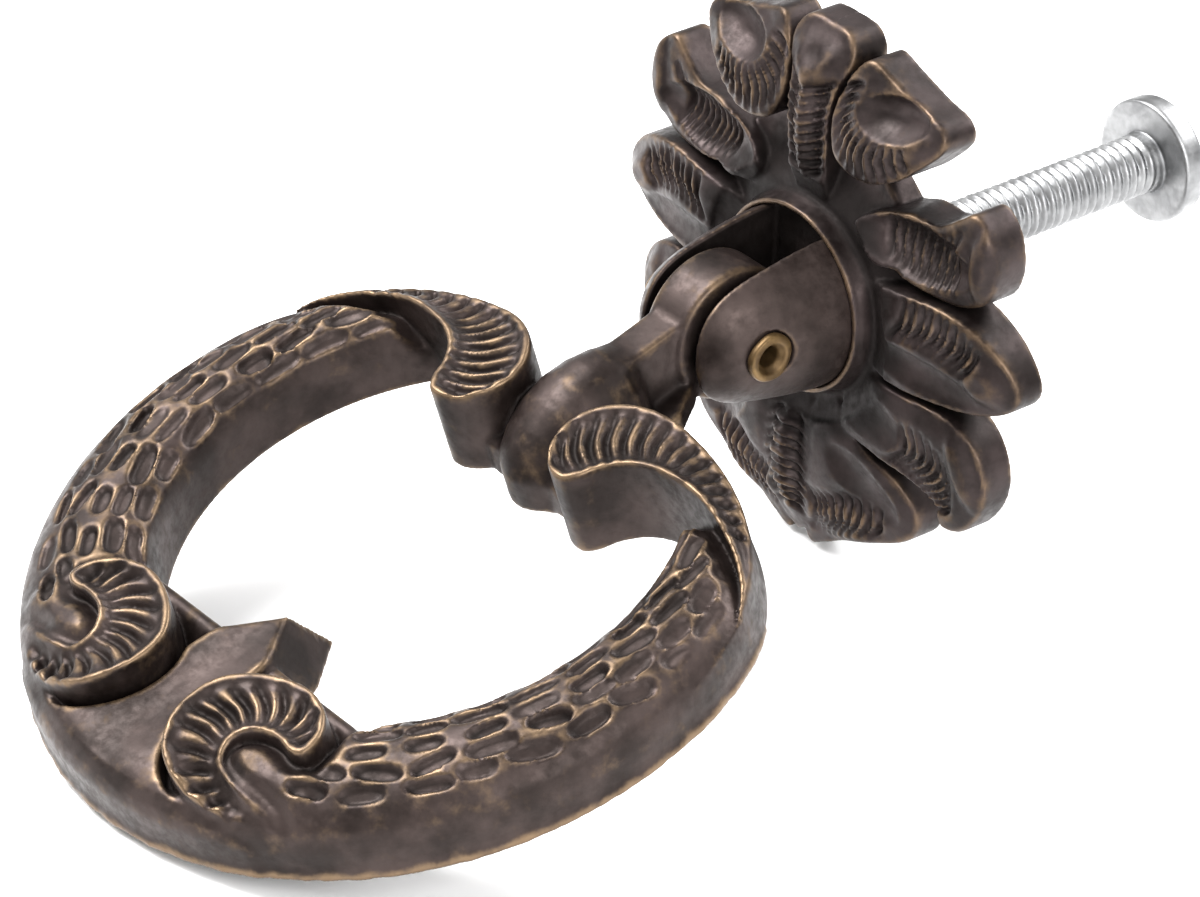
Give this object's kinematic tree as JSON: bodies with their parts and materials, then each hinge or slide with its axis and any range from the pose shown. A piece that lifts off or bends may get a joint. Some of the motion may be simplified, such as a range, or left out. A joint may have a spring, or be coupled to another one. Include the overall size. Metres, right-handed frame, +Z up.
{
  "type": "ring pull handle",
  "caption": "Cast drawer pull: a scaled ring with scrolls swings on a rivet in a slotted post on a leaf rosette, held by a screw from behind.",
  "frame": {"origin": "middle of the rosette's flat back face, which lies against the drawer front", "axes": "+Y back into the drawer along the screw, -Y out to the front, +X along the rivet to the right of someone facing the drawer, +Z up"},
  "size_m": [0.0466, 0.0826, 0.036],
  "materials": {
    "rosette_bronze": "dark patina with brass showing on raised edges, satin",
    "post_bronze": "dark patina, turned, satin",
    "rivet_brass": "worn brass, satin",
    "ring_bronze": "dark patina with brass showing on raised edges, satin",
    "screw_zinc": "bright zinc plate"
  },
  "bodies": {
    "fixed": {"rosette": "rosette_bronze", "post": "post_bronze", "rivet": "rivet_brass", "screw": "screw_zinc"},
    "ring": {"ring": "ring_bronze"}
  },
  "joints": [
    {"name": "ring_swing", "type": "hinge", "parent": "fixed", "child": "ring", "pos_m": [0, -0.0101, 0], "axis": [1, 0, 0], "range_deg": [-98, 73]}
  ]
}
